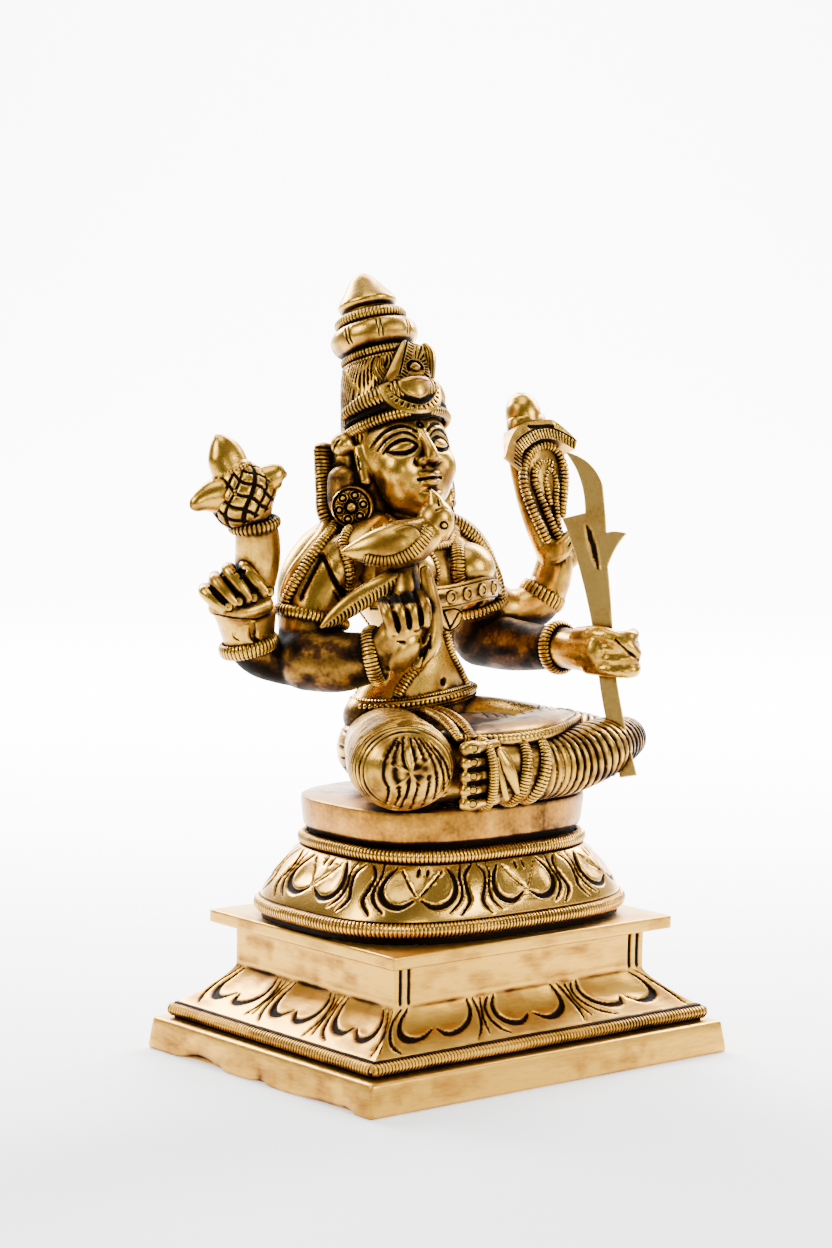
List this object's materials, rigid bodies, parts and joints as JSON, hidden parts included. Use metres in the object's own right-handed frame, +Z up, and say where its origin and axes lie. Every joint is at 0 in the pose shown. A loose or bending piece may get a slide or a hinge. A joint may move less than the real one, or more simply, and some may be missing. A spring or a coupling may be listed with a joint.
{
  "type": "parvati figure",
  "caption": "Crowned four-armed goddess seated cross-legged with a parrot, sugarcane, noose and goad, on a rounded lotus seat and a stepped plinth; stands as a shrine or shelf figure.",
  "frame": {"origin": "centre of the plinth's underside", "axes": "+Z up, the goddess faces -Y, her left is +X"},
  "size_m": [0.1061, 0.0764, 0.1661],
  "materials": {
    "plinth_brass": "cast and filed, satin, darkened in the cut lines",
    "seat_brass": "polished on the petal band, darkened in the cut lines",
    "figure_brass": "polished on the high places, dark brown in the recesses",
    "stalk_brass": "brushed along its length"
  },
  "bodies": {
    "root": {"plinth": "plinth_brass", "lotus_seat": "seat_brass", "goddess_figure": "figure_brass", "sugarcane_stalk": "stalk_brass"}
  },
  "joints": []
}
